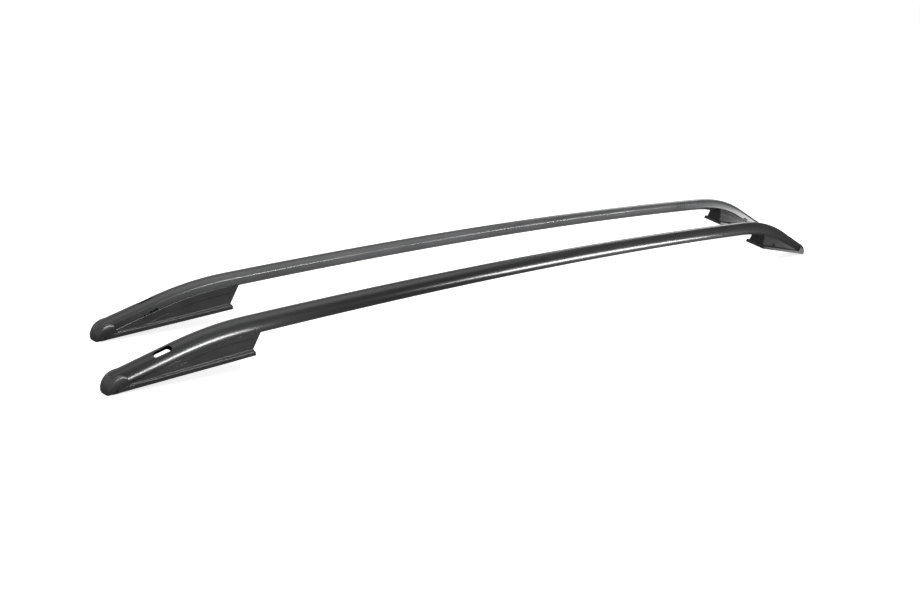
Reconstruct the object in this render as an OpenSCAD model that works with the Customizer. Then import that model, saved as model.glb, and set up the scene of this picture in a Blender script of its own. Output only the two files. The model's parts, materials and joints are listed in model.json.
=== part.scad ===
/* [Pair layout] */
// Distance between the two rail centre lines
pair_gap = 196; // [150:1:1200]
// How far the right rail lies further back than the left one
pair_shift = 44; // [0:1:60]

/* [Rail] */
// Overall length of one rail, nose to nose
rail_l = 2210; // [2100:5:2500]
// Outside diameter of the round part of the tube
tube_d = 38; // [36:0.5:39]
// Wall thickness of the tube
tube_wall = 2.6; // [2:0.1:3]
// Flat inboard side, as a share of the tube radius
flat_share = 0.82; // [0.78:0.01:0.88]
// Bevelled underside, as a share of the tube radius
bevel_share = 0.6; // [0.56:0.01:0.66]
// Tilt of the bevelled underside towards the vehicle
bevel_lean = 35; // [30:1:38]

/* [Arch] */
// Height of the tube axis at mid length
crown_h = 120; // [118:0.5:124]
// Radius of the long arch between the bends
arch_r = 17000; // [15500:100:20000]
// Fall of the arch towards the front, in degrees
arch_fall = 1.17; // [1.1:0.01:1.3]
// Distance from the nose to the start of the front bend
front_bend_x = 274; // [265:1:290]
// Radius of the front bend
front_bend_r = 560; // [540:1:580]
// Turn of the front bend, in degrees
front_bend_a = 15; // [14.6:0.1:15.2]
// Distance from the nose to the start of the rear bend
rear_bend_x = 374; // [365:1:385]
// Radius of the rear bend
rear_bend_r = 596; // [580:1:610]
// Turn of the rear bend, in degrees
rear_bend_a = 22.3; // [22:0.1:22.5]

/* [Feet] */
// Length of a foot from its nose to its inner end
foot_l = 281; // [270:1:290]
// Half width of the base flange at the inner end
flange_hw = 32; // [30:0.5:36]
// Half width of the base flange at the nose
nose_hw = 21; // [20:0.5:23]
// Thickness of the base flange
flange_t = 10; // [8:0.5:11]
// Half width of the foot wall where it leaves the flange, inner end
wall_hw = 27.5; // [26:0.5:29]
// Wall thickness of the moulded foot
foot_wall = 3; // [2.5:0.1:3.5]
// Inward lean of the foot walls, in degrees
wall_lean = 14; // [10:1:16]
// Lean of the front foot's inner end face, in degrees
front_end_lean = 36; // [25:1:38]
// Lean of the rear foot's inner end face, in degrees
rear_end_lean = 14; // [10:1:20]
// Rise of the front base towards the middle, in degrees
front_base_a = 6.6; // [6:0.1:7]
// Rise of the rear base towards the middle, in degrees
rear_base_a = 11.6; // [11:0.1:12]
// Depth of the recessed side panel
panel_depth = 1; // [0.6:0.1:1.4]
// Thickness of the gasket under each foot
pad_t = 2; // [1.5:0.1:3]

/* [Slot] */
// Length of the slot through the tube
slot_l = 35; // [28:1:40]
// Width of the slot through the tube
slot_w = 15; // [12:0.5:16]
// Distance from the nose to the middle of the front slot
slot_x = 117; // [110:1:125]
// Outboard lean of the slot, in degrees
slot_lean = 40; // [30:1:45]
// Upward offset of the slot from the tube axis
slot_off = 6; // [4:0.5:7]

/* [Fixings] */
// Radius of the thread in the steel bracket
thread_r = 3.4; // [2.5:0.1:4]
// Thickness of the steel bracket
bracket_t = 5; // [4.5:0.5:6]
// Height of the threaded boss above the bracket
boss_h = 9; // [6:0.5:10]
// Shank radius of the screws
screw_r = 2.5; // [2:0.1:3]

/* [Hidden] */
$fn = 96;
fit_gap = 0.15;
screw_gap = 0.1;
nose_drop = 12;
nose_wall = 2.4;
nose_len = 27;
tube_r = tube_d / 2;
mitre_h = 3;
path_steps = 26;
seam_l = 2;
seam_t = 0.06;
seam_g = 0.2;
seam_relief = 0.3;
flat_y = tube_r * flat_share;
bevel_d = tube_r * bevel_share;
saddle_up = 16;
panel_gap = 0.5;
roof_t = 3;
wall_splay = atan((wall_hw - nose_hw + 1) / foot_l);
cavity_start = 78;
end_wall = 3;
lip_h = 1.6;
lip_in = 1.3;
bracket_u = [122, foot_l - 31];
bracket_hw = 17;
hold_u = [130, foot_l - 43];
bolt_u = hold_u[0] + 35;
hold_l = 13;
tube_screw_t = [95, 95 + (hold_u[1] - hold_u[0]) * 5 / 6];
head_r = 4.6;
head_h = 3;
nut_r = 4.6;
nut_start = 7;
nut_end = 17;
tower_r = 7.5;
tower_end = 22;
pad_in = 2.5;
pad_recess = 1.8;
front_end_h = 17.927;
rear_end_h = 16.294;
block_w = 4 * flange_hw;
block_h = crown_h + 80;

// Everything about one end is worked out with x pointing outwards from mid length.
// End 0 is the front, end 1 is the rear.
FRONT = 0;
REAR = 1;

function side_sign(e) = e == FRONT ? -1 : 1;
function bend_x(e) = rail_l / 2 - (e == FRONT ? front_bend_x : rear_bend_x);
function bend_r(e) = e == FRONT ? front_bend_r : rear_bend_r;
function bend_a(e) = e == FRONT ? front_bend_a : rear_bend_a;
function base_a(e) = e == FRONT ? front_base_a : rear_base_a;
function end_lean(e) = e == FRONT ? front_end_lean : rear_end_lean;
function end_h(e) = e == FRONT ? front_end_h : rear_end_h;

// The tip of the flange lies a set height below the end of the tube.
function tip_z(e) = bend_q(e)[1] - straight_l(e) * sin(bend_a1(e)) - end_h(e);
function base_z(e) = tip_z(e) + nose_drop * sin(base_a(e));
function dir(a) = [sin(a), cos(a)];
function along(a) = [cos(a), -sin(a)];
function arch_c(e) = [side_sign(e) * arch_r * sin(arch_fall), crown_h - arch_r * cos(arch_fall)];
function bend_a0(e) = asin((bend_x(e) - arch_c(e)[0]) / arch_r);
function bend_a1(e) = bend_a0(e) + bend_a(e);
function bend_p(e) = arch_c(e) + arch_r * dir(bend_a0(e));
function bend_c(e) = bend_p(e) - bend_r(e) * dir(bend_a0(e));
function bend_q(e) = bend_c(e) + bend_r(e) * dir(bend_a1(e));
// Each run stops a hair before its seam, where a collar bridges it.
function seam_back(r) = seam_g / r * 180 / PI;
function straight_l(e) = (rail_l / 2 - nose_len - bend_q(e)[0]) / cos(bend_a1(e));

// Outline of the tube wall: round outboard and on top, flat inboard, bevelled below.
module rail_outline(r, flat, bevel) {
    intersection() {
        circle(r = r);
        translate([-2 * r, -2 * r])
            square([2 * r + flat, 4 * r]);
        rotate(-(90 - bevel_lean))
            translate([-3 * r, -3 * r])
                square([3 * r + bevel, 6 * r]);
    }
}

module rail_outer(grow = 0) {
    rail_outline(tube_r + grow, flat_y + grow, bevel_d + grow);
}

module rail_inner(grow = 0) {
    rail_outline(tube_r - tube_wall + grow, flat_y - tube_wall + grow, bevel_d - tube_wall + grow);
}

module rail_wall(grow = 0) {
    difference() {
        rail_outer(grow);
        rail_inner(-grow);
    }
}

// Sweeps the 2D child along an arc in the upright plane, x outwards.
module sweep_arc(c, r, a0, a1) {
    translate([c[0], 0, c[1]])
        rotate([90, 0, 0])
            rotate_extrude(start = 90 - a1, angle = a1 - a0)
                translate([r, 0])
                    rotate(-90)
                        children();
}

module sweep_straight(p, a, l) {
    translate([p[0], 0, p[1]])
        rotate([0, a, 0])
            rotate([90, 0, 90])
                linear_extrude(l)
                    children();
}

module to_end(e) {
    mirror([e == FRONT ? 1 : 0, 0, 0])
        children();
}

// Bend and straight run of one end, x outwards.
module end_run(e) {
    back = seam_back(bend_r(e));
    sweep_arc(bend_c(e), bend_r(e), bend_a0(e) + back, bend_a1(e) - back)
        children();
    sweep_straight(bend_q(e) + seam_g * along(bend_a1(e)), bend_a1(e), straight_l(e) - seam_g)
        children();
}

// Sweeps the 2D child along the long arch, angles counted from its top.
module sweep_long(a0, a1) {
    translate([0, 0, crown_h])
        rotate([0, -arch_fall, 0])
            sweep_arc([0, -arch_r], arch_r, a0 + arch_fall, a1 + arch_fall, $fn = 1440)
                children();
}

// The long arch in two parts, so that its top is a seam of its own.
module arch_run() {
    back = seam_back(arch_r);
    sweep_long(-bend_a0(FRONT) + back, 0)
        children();
    sweep_long(0, bend_a0(REAR) - back)
        children();
}

// Thin collar that ties two runs together where they meet.
module seam_collars(e) {
    for (end = [[bend_p(e), bend_a0(e)], [bend_q(e), bend_a1(e)]])
        sweep_straight(end[0] - seam_l / 2 * along(end[1]), end[1], seam_l)
            children();
}

// Frame on the base of one foot: x inwards from the nose, z square to the base.
module base_frame(e) {
    translate([rail_l / 2 - nose_drop, 0, base_z(e)])
        mirror([1, 0, 0])
            rotate([0, -base_a(e), 0])
                children();
}

// Place on the tube axis at a distance t inwards from the end of the tube.
function bend_turn(e, t) = max(0, t - straight_l(e)) / bend_r(e) * 180 / PI;
function axis_a(e, t) = bend_a1(e) - bend_turn(e, t);
function axis_p(e, t) = t > straight_l(e)
    ? bend_c(e) + bend_r(e) * dir(axis_a(e, t))
    : bend_q(e) + (straight_l(e) - t) * along(bend_a1(e));

// Frame on the tube axis, z upwards and square to the tube.
module axis_frame(e, t) {
    translate([axis_p(e, t)[0], 0, axis_p(e, t)[1]])
        rotate([0, axis_a(e, t), 0])
            children();
}

// The same frame with z pointing down into the foot.
module under_frame(e, t) {
    axis_frame(e, t)
        rotate([180, 0, 0])
            children();
}

module slot_cut(e) {
    axis_frame(e, slot_x - nose_len)
        rotate([slot_lean, 0, 0])
            translate([0, slot_off, -2 * tube_r])
                linear_extrude(4 * tube_r)
                    stadium(slot_l, slot_w);
}

module stadium(l, w) {
    for (s = [-1, 1])
        translate([s * (l - w) / 2, 0])
            circle(d = w);
    square([l - w, w], center = true);
}

module tube_blank(e) {
    to_end(e)
        base_frame(e)
            translate([-foot_l / 2, -block_w / 2, -block_h])
                cube([1.5 * foot_l, block_w, block_h + mitre_h]);
}

module rail_tube() {
    color("dimgray")
        difference() {
            union() {
                arch_run()
                    rail_wall();
                for (e = [FRONT, REAR])
                    to_end(e) {
                        end_run(e)
                            rail_wall();
                        seam_collars(e)
                            rail_wall(seam_t);
                    }
            }
            for (e = [FRONT, REAR]) {
                tube_blank(e);
                to_end(e)
                    slot_cut(e);
                to_end(e)
                    for (t = tube_screw_t)
                        under_frame(e, t)
                            cylinder(r = nut_r + screw_gap, h = tube_r);
            }
        }
}

// Point on the tube axis at an angle of the bend, lowered by k.
function bend_point(e, a, k) = bend_c(e) + (bend_r(e) - k) * dir(a);

// Side view of the space under the tube, x outwards, k below the tube axis.
module under_tube(e, k) {
    a0 = bend_a0(e) - 6;
    a1 = bend_a1(e);
    far = bend_point(e, a1, k) + foot_l * along(a1);
    polygon([
        for (i = [0 : path_steps]) bend_point(e, a0 + (a1 - a0) * i / path_steps, k),
        far, [far[0], -block_h], [bend_point(e, a0, k)[0], -block_h]
    ]);
}

module side_prism(hw) {
    rotate([90, 0, 0])
        translate([0, 0, -hw])
            linear_extrude(2 * hw)
                children();
}

// Everything on the inner side of one leaning side wall of a foot.
module wall_side(side, inset) {
    mirror([0, side, 0])
        translate([0, nose_hw - 1 - inset, 0])
            rotate([0, 0, wall_splay])
                rotate([wall_lean, 0, 0])
                    translate([-foot_l / 4, -block_w, -foot_l / 4])
                        cube([1.75 * foot_l, block_w, foot_l]);
}

// Wedge between the two leaning side walls on the base frame, from u0 to u1.
module wall_wedge(u0, u1, inset, h) {
    intersection() {
        translate([u0, -60, 0])
            cube([u1 - u0, 120, h]);
        wall_side(0, inset);
        wall_side(1, inset);
    }
}

// Slab on the base: a round nose that widens to the square inner end.
module base_slab(inset, h) {
    r = nose_hw - inset;
    l = foot_l - nose_drop;
    cx = nose_hw - nose_drop;
    hw = flange_hw - inset;
    translate([cx, 0, 0])
        cylinder(r = r, h = h);
    linear_extrude(h)
        polygon([[cx - 3, r - 0.8], [l - inset, hw], [l - inset, -hw], [cx - 3, -(r - 0.8)]]);
}

module flange() {
    base_slab(0, flange_t - lip_h);
    translate([0, 0, 1])
        base_slab(lip_in, flange_t - 1);
}

// Everything inboard of the leaning inner end face, cut away.
module end_cut(e, inset) {
    translate([foot_l - nose_drop - inset, -block_w / 2, flange_t])
        rotate([0, end_lean(e), 0])
            translate([0, 0, -4 * flange_t])
                cube([foot_l / 2, block_w, foot_l]);
}

module foot_body(e) {
    intersection() {
        side_prism(60)
            under_tube(e, tube_r - saddle_up);
        base_frame(e)
            difference() {
                wall_wedge(2, foot_l + 40, 0, 90);
                end_cut(e, 2);
            }
    }
}

module foot_cavity(e) {
    intersection() {
        side_prism(60)
            under_tube(e, tube_r + roof_t);
        base_frame(e)
            difference() {
                translate([0, 0, -1])
                    wall_wedge(cavity_start, foot_l + 40, foot_wall, 90);
                end_cut(e, 2 + end_wall);
            }
    }
}

// Region of the recessed side panel in the side view.
module panel_side(e) {
    side_prism(60)
        intersection() {
            under_tube(e, tube_r + panel_gap);
            translate([rail_l / 2 - nose_drop, 0])
                mirror([1, 0])
                    rotate(base_a(e))
                        polygon([
                            [52, flange_t], [foot_l - nose_drop - 10, flange_t],
                            [foot_l + 20, 90], [52, 90]
                        ]);
        }
}

module panel_recess(e) {
    difference() {
        intersection() {
            panel_side(e);
            base_frame(e)
                translate([0, -60, flange_t])
                    cube([foot_l, 120, 90]);
        }
        base_frame(e)
            wall_wedge(0, foot_l + 60, panel_depth, 90);
    }
}

module nose(e) {
    p = bend_q(e) + straight_l(e) * along(bend_a1(e));
    intersection() {
        translate([p[0], 0, p[1]])
            rotate([0, bend_a1(e), 0])
                translate([-16, 0, 0])
                    rotate([0, 90, 0])
                        cylinder(r = tube_r + nose_wall, h = 60);
        translate([rail_l / 2 - 34, 0, 3])
            rotate([0, bend_a1(e) / 2, 0])
                sphere(r = 34, $fn = 120);
        base_frame(e)
            translate([-40, -40, 0])
                cube([200, 80, 90]);
    }
}

module towers(e) {
    for (t = tube_screw_t)
        under_frame(e, t)
            cylinder(r = tower_r, h = tower_end);
    base_frame(e)
        for (u = hold_u)
            translate([u, 0, bracket_t + pad_recess])
                cylinder(r = 6, h = 14);
}

module foot(e) {
    color("darkslategray")
        to_end(e)
            difference() {
                union() {
                    difference() {
                        union() {
                            foot_body(e);
                            base_frame(e)
                                flange();
                            nose(e);
                        }
                        foot_cavity(e);
                    }
                    intersection() {
                        foot_body(e);
                        union() {
                            towers(e);
                            ribs(e);
                        }
                    }
                }
                panel_recess(e);
                end_run(e)
                    rail_outer(fit_gap);
                arch_stub(e);
                seam_collars(e)
                    rail_outer(fit_gap + seam_relief);
                base_frame(e)
                    translate([0, 0, -1])
                        base_slab(pad_in, 1 + pad_recess);
                for (t = tube_screw_t)
                    under_frame(e, t) {
                        cylinder(r = screw_r + screw_gap, h = tower_end + 1);
                        cylinder(r = nut_r + screw_gap, h = nut_end);
                        translate([0, 0, tower_end])
                            cylinder(r = head_r + 2 * screw_gap, h = head_h + 1);
                    }
                base_frame(e)
                    for (u = hold_u)
                        translate([u, 0, 0])
                            cylinder(r = screw_r + screw_gap, h = pad_recess + head_h + hold_l + 0.5);
            }
}

// Start of the long arch, used to seat the foot's inner end.
module arch_stub(e) {
    a = bend_a0(e);
    sweep_arc(arch_c(e), arch_r, a - 0.4, a)
        rail_outer(fit_gap);
}

module ribs(e) {
    base_frame(e)
        for (u = hold_u)
            translate([u - 1.25, -60, bracket_t + pad_recess])
                cube([2.5, 120, 80]);
}

module pad(e) {
    color("black")
        to_end(e)
            base_frame(e)
                difference() {
                    translate([0, 0, pad_recess - pad_t])
                        base_slab(pad_in + 0.2, pad_t);
                    translate([bolt_u, 0, -10])
                        cylinder(r = thread_r + 2, h = 20);
                    for (u = hold_u)
                        translate([u, 0, -10])
                            cylinder(r = head_r + 1, h = 20);
                }
}

module bracket(e) {
    color("silver")
        to_end(e)
            base_frame(e)
                translate([0, 0, pad_recess])
                    difference() {
                        union() {
                            translate([bracket_u[0], -bracket_hw, 0])
                                cube([bracket_u[1] - bracket_u[0], 2 * bracket_hw, bracket_t]);
                            translate([bolt_u, 0, 0])
                                cylinder(r = 8, h = bracket_t + boss_h);
                        }
                        translate([bolt_u, 0, -1])
                            cylinder(r = thread_r, h = bracket_t + boss_h + 2);
                        for (u = hold_u)
                            translate([u, 0, -1]) {
                                cylinder(r = screw_r + screw_gap, h = bracket_t + 2);
                                cylinder(r = head_r + screw_gap, h = head_h + 1);
                            }
                    }
}

// Screw with a socket head, its head from z 0 up and its shank above that.
module screw(l) {
    difference() {
        union() {
            cylinder(r = head_r, h = head_h);
            cylinder(r = screw_r, h = head_h + l);
        }
        translate([0, 0, -1])
            cylinder(r = 1.8, h = 1 + head_h / 2, $fn = 6);
    }
}

module tube_screws(e) {
    color("lightgray")
        to_end(e)
            for (t = tube_screw_t)
                under_frame(e, t)
                    translate([0, 0, tower_end + head_h])
                        mirror([0, 0, 1])
                            screw(tower_end - nut_start);
}

module rivet_nuts(e) {
    color("gainsboro")
        to_end(e)
            for (t = tube_screw_t)
                under_frame(e, t)
                    difference() {
                        translate([0, 0, nut_start])
                            cylinder(r = nut_r, h = nut_end - nut_start);
                        cylinder(r = screw_r + screw_gap, h = tower_end);
                    }
}

module bracket_screws(e) {
    color("lightgray")
        to_end(e)
            base_frame(e)
                for (u = hold_u)
                    translate([u, 0, pad_recess])
                        screw(hold_l);
}

// The right rail is the mirror image of the left one.
module on_side(right) {
    translate([right ? pair_shift / 2 : -pair_shift / 2, right ? pair_gap / 2 : -pair_gap / 2, 0])
        mirror([0, right ? 1 : 0, 0])
            children();
}

on_side(false) rail_tube();  // left_tube
on_side(false) foot(FRONT);  // left_front_foot
on_side(false) foot(REAR);  // left_rear_foot
on_side(false) pad(FRONT);  // left_front_pad
on_side(false) pad(REAR);  // left_rear_pad
on_side(false) bracket(FRONT);  // left_front_bracket
on_side(false) bracket(REAR);  // left_rear_bracket
on_side(false) tube_screws(FRONT);  // left_front_tube_screws
on_side(false) tube_screws(REAR);  // left_rear_tube_screws
on_side(false) rivet_nuts(FRONT);  // left_front_rivet_nuts
on_side(false) rivet_nuts(REAR);  // left_rear_rivet_nuts
on_side(false) bracket_screws(FRONT);  // left_front_bracket_screws
on_side(false) bracket_screws(REAR);  // left_rear_bracket_screws
on_side(true) rail_tube();  // right_tube
on_side(true) foot(FRONT);  // right_front_foot
on_side(true) foot(REAR);  // right_rear_foot
on_side(true) pad(FRONT);  // right_front_pad
on_side(true) pad(REAR);  // right_rear_pad
on_side(true) bracket(FRONT);  // right_front_bracket
on_side(true) bracket(REAR);  // right_rear_bracket
on_side(true) tube_screws(FRONT);  // right_front_tube_screws
on_side(true) tube_screws(REAR);  // right_rear_tube_screws
on_side(true) rivet_nuts(FRONT);  // right_front_rivet_nuts
on_side(true) rivet_nuts(REAR);  // right_rear_rivet_nuts
on_side(true) bracket_screws(FRONT);  // right_front_bracket_screws
on_side(true) bracket_screws(REAR);  // right_rear_bracket_screws
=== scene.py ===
"""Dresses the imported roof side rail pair: tubes, feet, fixings, studio and camera."""

import json
import logging
import math
from dataclasses import dataclass
from enum import Enum

import bmesh
import bpy
from mathutils import Matrix, Vector
from mathutils.bvhtree import BVHTree

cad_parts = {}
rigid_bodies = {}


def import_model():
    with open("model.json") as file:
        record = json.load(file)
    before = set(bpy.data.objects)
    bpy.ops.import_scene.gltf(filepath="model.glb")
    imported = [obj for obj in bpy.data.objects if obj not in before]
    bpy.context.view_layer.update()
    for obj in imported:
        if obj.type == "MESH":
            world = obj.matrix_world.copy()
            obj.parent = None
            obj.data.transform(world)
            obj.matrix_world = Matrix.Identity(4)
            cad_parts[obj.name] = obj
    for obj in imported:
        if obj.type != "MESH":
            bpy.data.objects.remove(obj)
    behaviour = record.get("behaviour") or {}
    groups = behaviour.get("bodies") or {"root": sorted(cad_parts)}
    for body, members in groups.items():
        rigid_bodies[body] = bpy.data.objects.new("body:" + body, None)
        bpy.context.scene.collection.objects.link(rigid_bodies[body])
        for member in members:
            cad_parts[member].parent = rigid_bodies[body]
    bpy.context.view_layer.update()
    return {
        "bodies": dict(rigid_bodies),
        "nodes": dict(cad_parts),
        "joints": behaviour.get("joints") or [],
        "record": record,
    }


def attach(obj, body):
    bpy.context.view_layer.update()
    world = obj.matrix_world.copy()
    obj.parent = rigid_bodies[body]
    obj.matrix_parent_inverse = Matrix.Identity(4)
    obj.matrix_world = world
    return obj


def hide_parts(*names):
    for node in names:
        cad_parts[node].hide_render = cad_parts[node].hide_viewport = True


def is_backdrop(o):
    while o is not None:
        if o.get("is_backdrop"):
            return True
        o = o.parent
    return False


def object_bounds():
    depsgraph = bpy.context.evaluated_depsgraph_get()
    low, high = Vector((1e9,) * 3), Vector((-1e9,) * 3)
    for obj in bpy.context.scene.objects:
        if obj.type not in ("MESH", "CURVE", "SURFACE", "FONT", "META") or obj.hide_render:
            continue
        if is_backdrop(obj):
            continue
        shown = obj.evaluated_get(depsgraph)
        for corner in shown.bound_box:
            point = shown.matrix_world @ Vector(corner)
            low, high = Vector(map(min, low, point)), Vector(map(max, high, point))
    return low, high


LOG = logging.getLogger("rails")
MM = 0.001
ROOT = "root"
TINY = 1e-6
WHITE = (1.0, 1.0, 1.0, 1.0)


class Side(Enum):
    """The two rails of the pair; the value is the sign of the y of the rail's centre line."""

    LEFT = -1
    RIGHT = 1

    @property
    def prefix(self) -> str:
        """The first word of the rail's node names."""
        return self.name.lower()


class End(Enum):
    """The two ends of a rail; the value is the sign of x."""

    FRONT = -1
    REAR = 1


class Sock:
    """A node socket that takes part in Python expressions."""

    def __init__(self, kit: "Nodes", socket: bpy.types.NodeSocket | None) -> None:
        """Keeps the node kit and the output socket."""
        self.kit = kit
        self.socket = socket

    def _math(self, operation: str, *values: "Sock | float") -> "Sock":
        """Value of a new Math node over numbers or sockets."""
        return self.kit.add("ShaderNodeMath", {"operation": operation}, dict(enumerate(values)))

    def __add__(self, other: "Sock | float") -> "Sock":
        """Sum."""
        return self._math("ADD", self, other)

    __radd__ = __add__

    def __sub__(self, other: "Sock | float") -> "Sock":
        """Difference."""
        return self._math("SUBTRACT", self, other)

    def __rsub__(self, other: "Sock | float") -> "Sock":
        """Difference, reflected."""
        return self._math("SUBTRACT", other, self)

    def __mul__(self, other: "Sock | float") -> "Sock":
        """Product."""
        return self._math("MULTIPLY", self, other)

    __rmul__ = __mul__

    def span(self, low: float, high: float, start: float = 0.0, stop: float = 1.0) -> "Sock":
        """Maps low to start and high to stop, held between them.

        Args:
            low: value that gives start.
            high: value that gives stop.
            start: result at low.
            stop: result at high.

        Returns:
            The mapped value.
        """
        values = {0: self, 1: low, 2: high, 3: start, 4: stop}
        return self.kit.add("ShaderNodeMapRange", {"clamp": True}, values)


class Nodes:
    """One material's or world's node tree, emptied and ready to fill."""

    def __init__(self, tree: bpy.types.NodeTree) -> None:
        """Empties the tree."""
        self.tree = tree
        tree.nodes.clear()

    def add(
        self, kind: str, settings: dict | None = None, values: dict | None = None, out: int | str = 0
    ) -> Sock:
        """Adds a node.

        Args:
            kind: the node's type name.
            settings: its properties, set first.
            values: values or links by input name or index.
            out: name or index of the output to return.

        Returns:
            The chosen output, wrapped.
        """
        node = self.tree.nodes.new(kind)
        for key, value in (settings or {}).items():
            setattr(node, key, value)
        for key, value in (values or {}).items():
            if isinstance(value, Sock):
                self.tree.links.new(value.socket, node.inputs[key])
            else:
                node.inputs[key].default_value = value
        return Sock(self, node.outputs[out] if node.outputs else None)

    def coords(self, scale: tuple[float, float, float]) -> Sock:
        """Object coordinates in metres, scaled per axis."""
        place = self.add("ShaderNodeTexCoord", out="Object")
        return self.add("ShaderNodeMapping", None, {"Vector": place, "Scale": scale})

    def noise(self, vector: Sock, scale: float, detail: float, rough: float = 0.5) -> Sock:
        """Noise between 0 and 1, with features of about 1 / scale metres."""
        values = {"Vector": vector, "Scale": scale, "Detail": detail, "Roughness": rough}
        return self.add("ShaderNodeTexNoise", None, values)

    def mix_colour(
        self, mask: Sock, a: tuple[float, float, float], b: tuple[float, float, float]
    ) -> Sock:
        """Colour that goes from a to b with the mask."""
        values = {0: mask, 6: (*a, 1.0), 7: (*b, 1.0)}
        return self.add("ShaderNodeMix", {"data_type": "RGBA"}, values, 2)

    def bump(self, height: Sock, strength: float, distance: float) -> Sock:
        """Bump normal from a height between 0 and 1."""
        values = {"Height": height, "Strength": strength, "Distance": distance}
        return self.add("ShaderNodeBump", None, values)

    def grey(self, level: float) -> Sock:
        """Plain diffuse surface of one grey."""
        return self.add("ShaderNodeBsdfDiffuse", None, {"Color": (level, level, level, 1.0)})

    def choose(self, mask: Sock, off: Sock, on: Sock) -> Sock:
        """Shader that is off where the mask is 0 and on where it is 1."""
        return self.add("ShaderNodeMixShader", None, {0: mask, 1: off, 2: on})


def new_material(name: str) -> tuple[bpy.types.Material, Nodes]:
    """Makes an empty node material.

    Args:
        name: the material's name.

    Returns:
        The material and its node kit.
    """
    material = bpy.data.materials.new(name)
    material.use_nodes = True
    return material, Nodes(material.node_tree)


@dataclass(frozen=True)
class Finish:
    """A procedural finish: base colour, gloss and the grain that breaks them up.

    Scales are in features a metre. The tone is a broad cloud and the speck a fine one, whose scale
    is given as a share of the grain's. Both vary colour and gloss, and a part is the tone's share.
    """

    name: str
    dark: tuple[float, float, float]
    light: tuple[float, float, float]
    rough_low: float
    rough_high: float
    metallic: float = 0.0
    tone_scale: float = 14.0
    grain_scale: float = 900.0
    grain_strength: float = 0.1
    grain_depth: float = 0.0001
    stretch: tuple[float, float, float] = (1.0, 1.0, 1.0)
    ior: float = 1.5
    grain_detail: float = 3.0
    grain_rough: float = 0.6
    tone_detail: float = 4.0
    tone_span: tuple[float, float] = (0.35, 0.65)
    speck_scale: float = 0.31
    speck_detail: float = 2.0
    speck_span: tuple[float, float] = (0.42, 0.58)
    colour_part: float = 0.6
    gloss_part: float = 0.5

    def build(self) -> bpy.types.Material:
        """Makes the material.

        Returns:
            The finished material.
        """
        material, kit = new_material(self.name)
        place = kit.coords(self.stretch)
        tone = kit.noise(place, self.tone_scale, self.tone_detail).span(*self.tone_span)
        grain = kit.noise(place, self.grain_scale, self.grain_detail, self.grain_rough)
        speck = kit.noise(place, self.grain_scale * self.speck_scale, self.speck_detail)
        speck = speck.span(*self.speck_span)
        mask = tone * self.colour_part + speck * (1.0 - self.colour_part)
        gloss = tone * self.gloss_part + speck * (1.0 - self.gloss_part)
        values = {
            "Base Color": kit.mix_colour(mask, self.dark, self.light),
            "Roughness": gloss * (self.rough_high - self.rough_low) + self.rough_low,
            "Metallic": self.metallic,
            "IOR": self.ior,
            "Normal": kit.bump(grain, self.grain_strength, self.grain_depth),
        }
        shader = kit.add("ShaderNodeBsdfPrincipled", None, values)
        kit.add("ShaderNodeOutputMaterial", None, {"Surface": shader})
        return material


POWDER_COAT = Finish(
    name="rail_powder_coat", dark=(0.0065, 0.0066, 0.0068), light=(0.0105, 0.0106, 0.011),
    rough_low=0.27, rough_high=0.31, tone_scale=9.0, grain_scale=1400.0,
    grain_strength=0.06, grain_depth=0.00003,
)
FOOT_PLASTIC = Finish(
    name="foot_moulded_plastic", dark=(0.010, 0.010, 0.0103), light=(0.018, 0.018, 0.0185),
    rough_low=0.31, rough_high=0.38, tone_scale=22.0, grain_scale=1900.0,
    grain_strength=0.20, grain_depth=0.00006,
)
GASKET_RUBBER = Finish(
    name="gasket_rubber", dark=(0.008, 0.008, 0.008), light=(0.018, 0.018, 0.018),
    rough_low=0.7, rough_high=0.85, tone_scale=30.0, grain_scale=1500.0,
    grain_strength=0.35, grain_depth=0.0003,
)
ZINC_STEEL = Finish(
    name="zinc_plated_steel", dark=(0.42, 0.42, 0.43), light=(0.62, 0.62, 0.62), metallic=1.0,
    rough_low=0.26, rough_high=0.42, tone_scale=60.0, grain_scale=700.0,
    grain_strength=0.12, stretch=(1.0, 3.0, 3.0),
)
TURNED_ALLOY = Finish(
    name="turned_alloy", dark=(0.6, 0.6, 0.61), light=(0.78, 0.78, 0.79), metallic=1.0,
    rough_low=0.2, rough_high=0.34, tone_scale=90.0, grain_scale=1200.0,
)
SCREW_STEEL = Finish(
    name="zinc_screw_steel", dark=(0.45, 0.46, 0.47), light=(0.66, 0.66, 0.67), metallic=1.0,
    rough_low=0.2, rough_high=0.36, tone_scale=120.0, grain_scale=1500.0,
)


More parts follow.
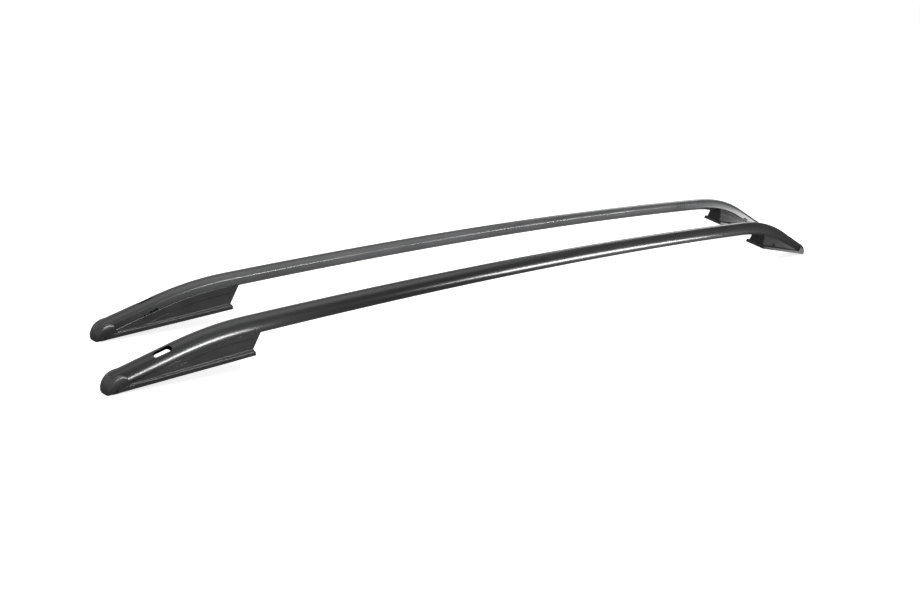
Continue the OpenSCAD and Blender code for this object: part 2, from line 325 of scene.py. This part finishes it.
@dataclass(frozen=True)
class RailShape:
    """Sizes of one rail in millimetres and degrees, the same as the solid part's.

    A pair is the front's and the rear's value, apart from nut_t, which has the distances of the
    two nuts of an end from the tube's end.
    """

    length: float = 2210.0
    pair_gap: float = 196.0
    pair_shift: float = 44.0
    radius: float = 19.0
    wall: float = 2.6
    flat: float = 15.58
    bevel: float = 11.4
    bevel_lean: float = 35.0
    crown: float = 120.0
    arch_r: float = 17000.0
    arch_fall: float = 1.17
    bend_x: tuple[float, float] = (274.0, 374.0)
    bend_r: tuple[float, float] = (560.0, 596.0)
    bend_a: tuple[float, float] = (15.0, 22.3)
    base_a: tuple[float, float] = (6.6, 11.6)
    nose_len: float = 27.0
    nose_drop: float = 12.0
    mitre_h: float = 3.0
    slot_l: float = 35.0
    slot_w: float = 15.0
    slot_x: float = 117.0
    slot_lean: float = 40.0
    slot_off: float = 6.0
    nut_r: float = 4.7
    nut_t: tuple[float, float] = (95.0, 185.0)

    def pick(self, end: End, pair: tuple[float, float]) -> float:
        """The front's or the rear's value of a pair."""
        return pair[0] if end is End.FRONT else pair[1]

    def arch_centre(self, end: End) -> Vector:
        """Finds the centre of the long arch.

        Args:
            end: the end.

        Returns:
            The centre, x outwards to that end.
        """
        fall = math.radians(self.arch_fall)
        across = end.value * self.arch_r * math.sin(fall)
        return Vector((across, self.crown - self.arch_r * math.cos(fall)))

    def arch_angle(self, end: End) -> float:
        """Angle of the long arch where the bend starts, in radians."""
        start = self.length / 2 - self.pick(end, self.bend_x)
        return math.asin((start - self.arch_centre(end).x) / self.arch_r)

    def run_angle(self, end: End) -> float:
        """Angle of the straight run, in radians."""
        return self.arch_angle(end) + math.radians(self.pick(end, self.bend_a))

    def bend_centre(self, end: End) -> Vector:
        """Finds the centre of a bend.

        Args:
            end: the end.

        Returns:
            The centre, x outwards.
        """
        angle = self.arch_angle(end)
        out = Vector((math.sin(angle), math.cos(angle)))
        start = self.arch_centre(end) + self.arch_r * out
        return start - self.pick(end, self.bend_r) * out

    def run_start(self, end: End) -> Vector:
        """Finds where a straight run starts.

        Args:
            end: the end.

        Returns:
            The point, x outwards.
        """
        angle = self.run_angle(end)
        out = Vector((math.sin(angle), math.cos(angle)))
        return self.bend_centre(end) + self.pick(end, self.bend_r) * out

    def run_length(self, end: End) -> float:
        """Length of the straight run."""
        reach = self.length / 2 - self.nose_len - self.run_start(end).x
        return reach / math.cos(self.run_angle(end))

    def axis_point(self, end: End, t: float) -> tuple[Vector, float]:
        """Finds a place on the axis.

        Args:
            end: the end that it is measured from.
            t: distance inwards from the tube's end.

        Returns:
            The point, x outwards, and the axis's angle there.
        """
        angle = self.run_angle(end)
        left = self.run_length(end) - t
        if left < 0:
            radius = self.pick(end, self.bend_r)
            angle += left / radius
            return self.bend_centre(end) + radius * Vector((math.sin(angle), math.cos(angle))), angle
        return self.run_start(end) + left * Vector((math.cos(angle), -math.sin(angle))), angle

    def frame(self, end: End, t: float) -> Matrix:
        """Finds the frame at a place on the axis.

        Args:
            end: the end that it is measured from.
            t: distance inwards from the tube's end.

        Returns:
            The frame, x along the tube and z square to it.
        """
        point, angle = self.axis_point(end, t)
        turn = Matrix.Rotation(end.value * angle, 4, "Y")
        return Matrix.Translation((end.value * point.x, 0, point.y)) @ turn


SHAPE = RailShape()


def new_object(name: str, mesh: bpy.types.Mesh) -> bpy.types.Object:
    """Links a mesh into the scene.

    Args:
        name: the object's name.
        mesh: its mesh, in its place.

    Returns:
        The object, at the origin.
    """
    piece = bpy.data.objects.new(name, mesh)
    bpy.context.scene.collection.objects.link(piece)
    return piece


def mesh_of(bm: bmesh.types.BMesh, name: str) -> bpy.types.Mesh:
    """Writes a bmesh into a new mesh and frees it.

    Args:
        bm: the bmesh.
        name: the mesh's name.

    Returns:
        The new mesh.
    """
    mesh = bpy.data.meshes.new(name)
    bm.to_mesh(mesh)
    bm.free()
    return mesh


def baked(piece: bpy.types.Object) -> bpy.types.Mesh:
    """The piece's mesh with its modifiers applied."""
    graph = bpy.context.evaluated_depsgraph_get()
    return bpy.data.meshes.new_from_object(piece.evaluated_get(graph))


def shade_smooth(mesh: bpy.types.Mesh, sharp: float) -> None:
    """Shades a mesh smooth, apart from edges over the given angle in degrees."""
    mesh.polygons.foreach_set("use_smooth", [True] * len(mesh.polygons))
    mesh.set_sharp_from_angle(angle=math.radians(sharp))


@dataclass
class Tube:
    """One rail tube: an outline swept along the run, cut to the base planes and slotted.

    It is drawn in millimetres and degrees about the rail's own mid length. The trim is the size of
    the block that cuts an end along its base plane, and the trim shift is how far its middle lies
    inwards. The slot reach is how far a slot's cutter goes past the axis on each side, and the nut
    drop is how far below the axis the nuts' holes start.
    """

    shape: RailShape = SHAPE
    outline_steps: int = 112
    corner_r: float = 2.0
    corner_shrink: float = 0.2
    corner_least: float = 0.3
    corner_steps: int = 4
    corner_turn: float = 12.0
    arch_steps: int = 60
    bend_steps: int = 30
    overshoot: float = 6.0
    trim: tuple[float, float, float] = (400.0, 120.0, 200.0)
    trim_shift: float = 60.0
    slot_steps: int = 48
    slot_reach: float = 38.0
    nut_steps: int = 32
    nut_drop: float = 1.0
    merge: float = 1e-4
    sharp_angle: float = 32.0

    def outline(self, bm: bmesh.types.BMesh, inset: float) -> bmesh.types.BMFace:
        """Draws the closed outline of the tube in the upright plane x = 0.

        Args:
            bm: empty mesh to draw in.
            inset: how far inside the outer face it runs.

        Returns:
            The outline's face.
        """
        s = self.shape
        bmesh.ops.create_circle(
            bm, cap_ends=True, segments=self.outline_steps, radius=s.radius - inset,
            matrix=Matrix.Rotation(math.radians(90), 4, "Y"),
        )
        lean = math.radians(90 - s.bevel_lean)
        flat_out = Vector((0, 1, 0))
        bevel_out = Vector((0, math.cos(lean), -math.sin(lean)))
        for distance, normal in ((s.flat, flat_out), (s.bevel, bevel_out)):
            bmesh.ops.bisect_plane(
                bm, geom=[*bm.faces, *bm.edges, *bm.verts], dist=TINY,
                plane_co=normal * (distance - inset), plane_no=normal, clear_outer=True,
            )
        face = next(iter(bm.faces))
        corners = [v for v in face.verts if self._turn(v, face) > math.radians(self.corner_turn)]
        radius = max(self.corner_least, self.corner_r - inset * self.corner_shrink)
        bmesh.ops.bevel(
            bm, geom=corners, offset=radius, offset_type="OFFSET", segments=self.corner_steps,
            profile=0.5, affect="VERTICES", material=-1, clamp_overlap=True,
        )
        return next(iter(bm.faces))

    @staticmethod
    def _turn(vert: bmesh.types.BMVert, face: bmesh.types.BMFace) -> float:
        """Finds how far a face's outline turns at a corner.

        Args:
            vert: the corner.
            face: the face.

        Returns:
            The angle in radians.
        """
        edges = [e for e in vert.link_edges if face in e.link_faces]
        a, b = [(e.other_vert(vert).co - vert.co).normalized() for e in edges]
        return math.pi - a.angle(b)

    def sweep(self, inset: float) -> bmesh.types.BMesh:
        """Sweeps one outline along the whole run, front to rear, as a closed solid.

        Args:
            inset: how far inside the outer face the outline runs.

        Returns:
            The swept solid, which runs past both ends.
        """
        s = self.shape
        bm = bmesh.new()
        face = self.outline(bm, inset)
        past = self.overshoot + inset
        place = s.frame(End.FRONT, -past)
        bmesh.ops.transform(bm, matrix=place, verts=face.verts)
        ahead = place.to_3x3() @ Vector((1, 0, 0))
        down = s.run_angle(End.REAR)
        behind = Vector((math.cos(down), 0, -math.sin(down)))
        whole = s.arch_angle(End.FRONT) + s.arch_angle(End.REAR)
        front_turn, rear_turn = (math.radians(a) for a in s.bend_a)
        ring = self._push(bm, list(face.edges), ahead * (s.run_length(End.FRONT) + past))
        ring = self._spin(bm, ring, End.FRONT, s.bend_centre(End.FRONT), front_turn, self.bend_steps)
        ring = self._spin(bm, ring, End.REAR, s.arch_centre(End.REAR), whole, self.arch_steps)
        ring = self._spin(bm, ring, End.REAR, s.bend_centre(End.REAR), rear_turn, self.bend_steps)
        ring = self._push(bm, ring, behind * (s.run_length(End.REAR) + past))
        bmesh.ops.contextual_create(bm, geom=ring)
        bmesh.ops.remove_doubles(bm, verts=bm.verts, dist=self.merge)
        bmesh.ops.recalc_face_normals(bm, faces=bm.faces)
        return bm

    @staticmethod
    def _push(bm: bmesh.types.BMesh, ring: list, by: Vector) -> list:
        """Extrudes a ring of edges straight.

        Args:
            bm: the mesh.
            ring: the ring's edges.
            by: the way and length.

        Returns:
            The new ring's edges.
        """
        made = bmesh.ops.extrude_edge_only(bm, edges=ring)["geom"]
        verts = {g for g in made if isinstance(g, bmesh.types.BMVert)}
        bmesh.ops.translate(bm, vec=by, verts=list(verts))
        return [g for g in made if isinstance(g, bmesh.types.BMEdge) and all(v in verts for v in g.verts)]

    @staticmethod
    def _spin(
        bm: bmesh.types.BMesh, ring: list, end: End, centre: Vector, angle: float, steps: int
    ) -> list:
        """Spins a ring of edges rearwards and down about a centre in the upright plane.

        Args:
            bm: the mesh.
            ring: the ring's edges.
            end: the end that the centre's x points to.
            centre: the centre, x outwards.
            angle: how far it turns, in radians.
            steps: how many rings it adds.

        Returns:
            The last ring's edges.
        """
        made = bmesh.ops.spin(
            bm, geom=ring, cent=(end.value * centre.x, 0, centre.y), axis=(0, -1, 0), angle=-angle,
            steps=steps, use_merge=False, use_duplicate=False,
        )["geom_last"]
        return [g for g in made if isinstance(g, bmesh.types.BMEdge)]

    def cutters(self) -> list[bpy.types.Object]:
        """Makes the solids that trim the ends and cut the slots and the nuts' holes.

        Returns:
            One object for each kind.
        """
        solids = {"ends": bmesh.new(), "slots": bmesh.new(), "nuts": bmesh.new()}
        for end in End:
            bmesh.ops.create_cube(solids["ends"], size=1.0, matrix=self._trim_place(end))
            self._slot(solids["slots"], end)
            self._nut_holes(solids["nuts"], end)
        made = []
        for name, bm in solids.items():
            bmesh.ops.recalc_face_normals(bm, faces=bm.faces)
            made.append(new_object(f"cutter_{name}", mesh_of(bm, f"cutter_{name}")))
        return made

    def _trim_place(self, end: End) -> Matrix:
        """Places the unit cube that cuts one end along its base plane.

        Args:
            end: the end.

        Returns:
            The cube's place and size.
        """
        s = self.shape
        base = math.radians(s.pick(end, s.base_a))
        tip = Vector((end.value * (s.length / 2 - s.nose_drop), 0, s.nose_drop * math.sin(base)))
        back = Vector((-end.value * self.trim_shift, 0, s.mitre_h - self.trim[2] / 2))
        turn = Matrix.Rotation(end.value * base, 4, "Y")
        return Matrix.Translation(tip) @ turn @ Matrix.Translation(back) @ Matrix.Diagonal((*self.trim, 1))

    def _slot(self, bm: bmesh.types.BMesh, end: End) -> None:
        """Adds the round-ended prism that cuts one end's slot.

        Args:
            bm: the mesh that it is added to.
            end: the end.
        """
        s = self.shape
        made = bmesh.ops.create_circle(
            bm, cap_ends=True, segments=self.slot_steps, radius=s.slot_w / 2
        )["verts"]
        stretch = (s.slot_l - s.slot_w) / 2
        for vert in made:
            vert.co.x += math.copysign(stretch, vert.co.x) if abs(vert.co.x) > TINY else 0.0
        up = bmesh.ops.extrude_face_region(bm, geom=[made[0].link_faces[0]])["geom"]
        top = [g for g in up if isinstance(g, bmesh.types.BMVert)]
        bmesh.ops.translate(bm, vec=(0, 0, 2 * self.slot_reach), verts=top)
        lean = Matrix.Rotation(math.radians(s.slot_lean), 4, "X")
        below = Matrix.Translation((0, s.slot_off, -self.slot_reach))
        place = s.frame(end, s.slot_x - s.nose_len) @ lean @ below
        bmesh.ops.transform(bm, matrix=place, verts=made + top)

    def _nut_holes(self, bm: bmesh.types.BMesh, end: End) -> None:
        """Adds the cylinders that cut one end's holes for the rivet nuts.

        Args:
            bm: the mesh that they are added to.
            end: the end.
        """
        s = self.shape
        drop = Matrix.Translation((0, 0, -s.radius / 2 - self.nut_drop))
        for t in s.nut_t:
            bmesh.ops.create_cone(
                bm, cap_ends=True, segments=self.nut_steps, radius1=s.nut_r, radius2=s.nut_r,
                depth=s.radius, matrix=s.frame(end, t) @ drop,
            )

    def build(self) -> bpy.types.Mesh:
        """Builds the left tube about the rail's own mid length.

        Returns:
            The finished mesh in metres, smooth with sharp edges marked.
        """
        outer = new_object("tube_outer", mesh_of(self.sweep(0.0), "tube_outer"))
        inner = new_object("tube_inner", mesh_of(self.sweep(self.shape.wall), "tube_inner"))
        cutters = self.cutters()
        for tool in (*cutters, inner):
            cut = outer.modifiers.new("cut", "BOOLEAN")
            cut.operation = "DIFFERENCE"
            cut.solver = "EXACT"
            cut.object = tool
        mesh = baked(outer)
        for spare in (outer, inner, *cutters):
            bpy.data.objects.remove(spare)
        mesh.transform(Matrix.Scale(MM, 4))
        shade_smooth(mesh, self.sharp_angle)
        return mesh


def on_side(mesh: bpy.types.Mesh, side: Side) -> bpy.types.Mesh:
    """Copies a left-hand mesh to its rail, mirrored for the right one.

    Args:
        mesh: the mesh about the rail's own mid length.
        side: the rail.

    Returns:
        The copy, in its place.
    """
    copy = mesh.copy()
    ahead, across = (side.value * size / 2 * MM for size in (SHAPE.pair_shift, SHAPE.pair_gap))
    place = Matrix.Translation((ahead, across, 0))
    if side is Side.RIGHT:
        copy.transform(place @ Matrix.Scale(-1, 4, (0, 1, 0)))
        copy.flip_normals()
    else:
        copy.transform(place)
    return copy


@dataclass
class Foot:
    """A moulded foot: the solid part's own form with its mould edges rounded.

    Lengths are in millimetres and angles in degrees. A stray is a corner that the rounding leaves
    further off the skin than this share of the edge's radius. The reach is how far off an edge the
    look outwards starts.
    """

    merge: float = 0.02
    flat_angle: float = 0.6
    edge_angle: float = 24.0
    edge_r: float = 1.0
    edge_steps: int = 3
    stray: float = 0.45
    reach: float = 0.1
    sharp_angle: float = 36.0

    def build(self, source: bpy.types.Mesh) -> bpy.types.Mesh:
        """Copies a node's mesh, joins its triangles and rounds its edges.

        Args:
            source: the node's mesh, in metres.

        Returns:
            The finished mesh.
        """
        bm = self._joined(source)
        skin = BVHTree.FromBMesh(bm)
        bmesh.ops.bevel(
            bm, geom=[e for e in bm.edges if self._rounded(e, skin)], offset=self.edge_r * MM,
            offset_type="OFFSET", segments=self.edge_steps, profile=0.5, affect="EDGES", material=-1,
            clamp_overlap=False,
        )
        self._pull_in(bm, skin)
        mesh = mesh_of(bm, "foot_rounded")
        shade_smooth(mesh, self.sharp_angle)
        draft = new_object("foot_draft", mesh)
        draft.modifiers.new("weighted", "WEIGHTED_NORMAL").keep_sharp = True
        finished = baked(draft)
        bpy.data.objects.remove(draft)
        return finished

    def _joined(self, source: bpy.types.Mesh) -> bmesh.types.BMesh:
        """Joins a node's loose triangles into the faces that they make up.

        Args:
            source: the node's mesh.

        Returns:
            The joined copy.
        """
        bm = bmesh.new()
        bm.from_mesh(source)
        bmesh.ops.remove_doubles(bm, verts=bm.verts, dist=self.merge * MM)
        bmesh.ops.dissolve_degenerate(bm, edges=bm.edges, dist=self.merge * MM)
        bmesh.ops.dissolve_limit(
            bm, angle_limit=math.radians(self.flat_angle), verts=bm.verts, edges=bm.edges,
            use_dissolve_boundaries=False,
        )
        return bm

    def _rounded(self, edge: bmesh.types.BMEdge, skin: BVHTree) -> bool:
        """Tells whether an edge is sharp and lies outside, where nothing of the foot faces it.

        Args:
            edge: the edge.
            skin: the foot's faces.

        Returns:
            True for an edge to round.
        """
        if len(edge.link_faces) != 2 or edge.calc_face_angle() <= math.radians(self.edge_angle):
            return False
        out = (edge.link_faces[0].normal + edge.link_faces[1].normal).normalized()
        start = (edge.verts[0].co + edge.verts[1].co) / 2 + out * self.reach * MM
        return skin.ray_cast(start, out)[0] is None

    def _pull_in(self, bm: bmesh.types.BMesh, skin: BVHTree) -> None:
        """Puts stray corners back on the skin.

        Args:
            bm: the rounded foot.
            skin: the foot's faces before the rounding.
        """
        strays = 0
        for vert in bm.verts:
            near, _, _, distance = skin.find_nearest(vert.co)
            if distance > self.stray * self.edge_r * MM:
                vert.co = near
                strays += 1
        bmesh.ops.remove_doubles(bm, verts=bm.verts, dist=self.merge * MM)
        LOG.info("%d stray corners put back on the skin", strays)


@dataclass
class Rails:
    """The two rails: dressed tubes and feet, and the solid part's fixings with their finishes."""

    coat: bpy.types.Material
    plastic: bpy.types.Material
    finishes: dict[str, bpy.types.Material]

    def build(self, frame: dict) -> None:
        """Builds the tubes and feet and dresses the other nodes.
        """
        tube = Tube().build()
        for side in Side:
            self.put(f"{side.prefix}_tube", on_side(tube, side), self.coat, "rail_coat")
        for name, node in frame["nodes"].items():
            if name.endswith("_foot"):
                self.put(name, Foot().build(node.data), self.plastic, "foot_plastic")
            for ending, material in self.finishes.items():
                if name.endswith(ending):
                    node.data.materials.clear()
                    node.data.materials.append(material)
                    LOG.info("%s dressed in %s", name, material.name)

    @staticmethod
    def put(name: str, mesh: bpy.types.Mesh, material: bpy.types.Material, slot: str) -> None:
        """Puts a dressed piece in place of its node.

        Args:
            name: the node's name.
            mesh: the dressed mesh, in its place.
            material: its finish.
            slot: not used.
        """
        piece = new_object(f"{name}_dressed", mesh)
        mesh.materials.clear()
        mesh.materials.append(material)
        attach(piece, ROOT)
        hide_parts(name)
        LOG.info("%s has %d faces", piece.name, len(mesh.polygons))


@dataclass(frozen=True)
class Lamp:
    """One soft rectangular lamp, aimed at its target, in metres and watts.

    Where endings are given under only, it lights just the pieces whose names end so.
    """

    name: str
    place: tuple[float, float, float]
    target: tuple[float, float, float]
    size: tuple[float, float]
    power: float
    diffuse: float = 1.0
    only: tuple[str, ...] = ()

    def build(self) -> None:
        """Adds the lamp, which the camera doesn't see."""
        data = bpy.data.lights.new(self.name, "AREA")
        data.shape = "RECTANGLE"
        data.size, data.size_y = self.size
        data.energy = self.power
        data.diffuse_factor = self.diffuse
        lamp = bpy.data.objects.new(self.name, data)
        bpy.context.scene.collection.objects.link(lamp)
        aim = (Vector(self.target) - Vector(self.place)).to_track_quat("-Z", "Y")
        lamp.matrix_world = Matrix.Translation(self.place) @ aim.to_matrix().to_4x4()
        lamp.visible_camera = False
        if self.only:
            group = bpy.data.collections.new(f"{self.name}_lit")
            for piece in bpy.context.scene.objects:
                if piece.name.endswith(self.only):
                    group.objects.link(piece)
            lamp.light_linking.receiver_collection = group


LEFT_TUBE = ("left_tube_dressed",)
RIGHT_TUBE = ("right_tube_dressed",)
LEFT_REAR = ("left_rear_foot_dressed",)
RIGHT_REAR = ("right_rear_foot_dressed", "right_tube_dressed")
FRONT_FEET = ("front_foot_dressed",)

LAMPS = (
    Lamp("overhead", place=(0.1, 0.35, 2.8), target=(0.0, 0.0, 0.0), size=(3.6, 2.6), power=34.0),
    Lamp("back_right", place=(2.6, 1.6, 1.0), target=(0.6, 0.0, 0.1), size=(1.4, 1.0), power=14.0),
    Lamp(
        "strip_front", place=(-0.95, -0.47, 0.003), target=(-0.95, -0.47, 1.0),
        size=(0.34, 0.40), power=20.0, diffuse=0.0, only=LEFT_TUBE,
    ),
    Lamp(
        "strip_rear", place=(0.42, -0.57, 0.003), target=(0.42, -0.57, 1.0),
        size=(0.88, 0.50), power=50.0, diffuse=0.0, only=LEFT_TUBE,
    ),
    Lamp(
        "line_front", place=(-0.35, -0.90, 0.45), target=(-0.75, 0.09, 0.09),
        size=(0.55, 0.40), power=75.0, diffuse=0.0, only=RIGHT_TUBE,
    ),
    Lamp(
        "line_rear", place=(1.15, -1.15, 0.50), target=(0.15, -0.21, 0.16),
        size=(0.90, 0.45), power=180.0, diffuse=0.0, only=RIGHT_TUBE,
    ),
    Lamp(
        "side_right", place=(1.22, 0.0, 0.003), target=(1.22, 0.0, 1.0),
        size=(0.40, 0.16), power=1.4, only=RIGHT_REAR,
    ),
    Lamp(
        "side_left", place=(1.18, -0.22, 0.003), target=(1.18, -0.22, 1.0),
        size=(0.40, 0.20), power=0.4, only=LEFT_REAR,
    ),
    Lamp(
        "edges", place=(-0.90, -1.20, 1.40), target=(-0.80, 0.0, 0.05),
        size=(0.90, 0.30), power=60.0, diffuse=0.0, only=FRONT_FEET,
    ),
)


@dataclass(frozen=True)
class Floor:
    """White floor just under the part.

    Light meets one grey and mirrored rays another, and the camera sees the first with a glow added.
    """

    half: float = 14.0
    level: float = 0.8
    mirrored: float = 0.25
    glow: float = 0.8

    def build(self) -> None:
        """Adds the floor."""
        bm = bmesh.new()
        bmesh.ops.create_grid(bm, x_segments=1, y_segments=1, size=self.half)
        floor = new_object("floor", mesh_of(bm, "floor"))
        floor.data.transform(Matrix.Translation((0, 0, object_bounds()[0][2])))
        material, kit = new_material("studio_floor")
        camera_ray = kit.add("ShaderNodeLightPath", out="Is Camera Ray")
        mirror_ray = kit.add("ShaderNodeLightPath", out="Is Glossy Ray")
        values = {"Color": WHITE, "Strength": self.glow}
        glow = kit.add("ShaderNodeEmission", None, values)
        shown = kit.add("ShaderNodeAddShader", None, {0: kit.grey(self.level), 1: glow})
        bounced = kit.choose(mirror_ray, kit.grey(self.level), kit.grey(self.mirrored))
        surface = kit.choose(camera_ray, bounced, shown)
        kit.add("ShaderNodeOutputMaterial", None, {"Surface": surface})
        floor.data.materials.append(material)
        floor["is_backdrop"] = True


@dataclass(frozen=True)
class Dome:
    """World: white for the camera and a grey dome for the light.

    The dome gets darker to the right and, above a low band, on the near side. A span is where in
    the ray's direction a change starts and ends, and a cut is the share of the light that it takes.
    """

    levels: tuple[float, float] = (0.75, 0.8)
    rise: tuple[float, float] = (0.0, 0.9)
    right_span: tuple[float, float] = (0.35, 0.85)
    right_cut: float = 0.75
    near_span: tuple[float, float] = (0.2, 0.9)
    band_span: tuple[float, float] = (0.05, 0.3)
    near_cut: float = 0.6

    def build(self) -> None:
        """Makes the world."""
        world = bpy.data.worlds.new("studio")
        world.use_nodes = True
        bpy.context.scene.world = world
        kit = Nodes(world.node_tree)
        ray = kit.add("ShaderNodeTexCoord", out="Generated")
        x, y, z = (kit.add("ShaderNodeSeparateXYZ", None, {0: ray}, axis) for axis in "XYZ")
        near = (y * -1.0).span(*self.near_span) * z.span(*self.band_span)
        level = z.span(*self.rise, *self.levels)
        level = level * (1.0 - x.span(*self.right_span) * self.right_cut) * (1.0 - near * self.near_cut)
        dome = kit.add("ShaderNodeBackground", None, {"Color": level, "Strength": 1.0})
        white = kit.add("ShaderNodeBackground", None, {"Color": WHITE, "Strength": 1.0})
        camera_ray = kit.add("ShaderNodeLightPath", out="Is Camera Ray")
        kit.add("ShaderNodeOutputWorld", None, {"Surface": kit.choose(camera_ray, dome, white)})


@dataclass(frozen=True)
class PhotoCamera:
    """The camera that was fitted to the photograph: place in metres, turns in degrees."""

    eye: tuple[float, float, float] = (-1.567375, -1.493153, 0.882954)
    yaw: float = 41.618
    pitch: float = 24.409
    roll: float = -9.46
    focal_px: float = 900.0
    width_px: int = 920
    sensor: float = 36.0
    far: float = 60.0

    def build(self) -> None:
        """Adds the camera and makes it the scene's."""
        yaw, pitch, roll = (math.radians(a) for a in (self.yaw, self.pitch, self.roll))
        flat = math.cos(pitch)
        ahead = Vector((math.sin(yaw) * flat, math.cos(yaw) * flat, -math.sin(pitch)))
        level = Vector((math.cos(yaw), -math.sin(yaw), 0.0))
        under = ahead.cross(level)
        right = level * math.cos(roll) + under * math.sin(roll)
        down = under * math.cos(roll) - level * math.sin(roll)
        data = bpy.data.cameras.new("photo_camera")
        data.sensor_width = self.sensor
        data.lens = self.sensor * self.focal_px / self.width_px
        data.clip_end = self.far
        camera = bpy.data.objects.new("photo_camera", data)
        bpy.context.scene.collection.objects.link(camera)
        turn = Matrix((right, -down, -ahead)).transposed().to_4x4()
        camera.matrix_world = Matrix.Translation(self.eye) @ turn
        bpy.context.scene.camera = camera


def main() -> None:
    """Builds the dressed pair and its studio."""
    logging.basicConfig(level=logging.INFO)
    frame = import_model()
    finishes = {
        "pad": GASKET_RUBBER.build(),
        "bracket": ZINC_STEEL.build(),
        "rivet_nuts": TURNED_ALLOY.build(),
        "screws": SCREW_STEEL.build(),
    }
    Rails(POWDER_COAT.build(), FOOT_PLASTIC.build(), finishes).build(frame)
    for part in (Floor(), Dome(), *LAMPS, PhotoCamera()):
        part.build()
        LOG.info("%s added", type(part).__name__)
    bpy.context.scene.view_settings.view_transform = "Standard"


if __name__ == "__main__":
    main()
